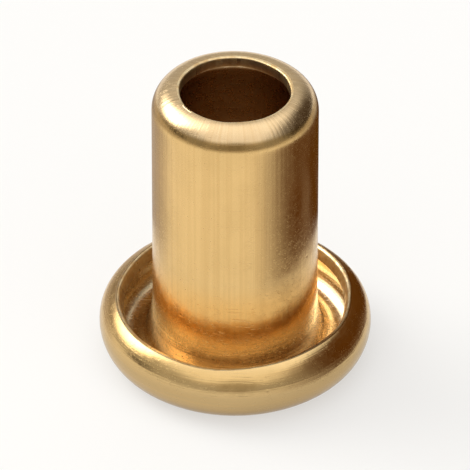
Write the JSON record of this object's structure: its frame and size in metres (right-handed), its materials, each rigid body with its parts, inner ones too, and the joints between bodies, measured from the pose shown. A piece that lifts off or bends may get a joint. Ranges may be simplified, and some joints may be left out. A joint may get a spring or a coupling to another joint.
{
  "type": "beehive frame eyelet",
  "caption": "Short drawn brass tube with a rolled flange at one end and a drawn-in, pierced tip at the other, pressed into a wooden bar to keep a wire from cutting it.",
  "frame": {"origin": "centre of the flange's face, in the plane of the ring that the eyelet stands on", "axes": "+Z along the barrel from the flange to the tip; X and Y are free, because the eyelet is round"},
  "size_m": [0.005, 0.005, 0.0058],
  "materials": {
    "brass": "bright as drawn and tumbled, with fine draw lines along the barrel and a thin golden tarnish"
  },
  "bodies": {
    "root": {"eyelet": "brass"}
  },
  "joints": []
}
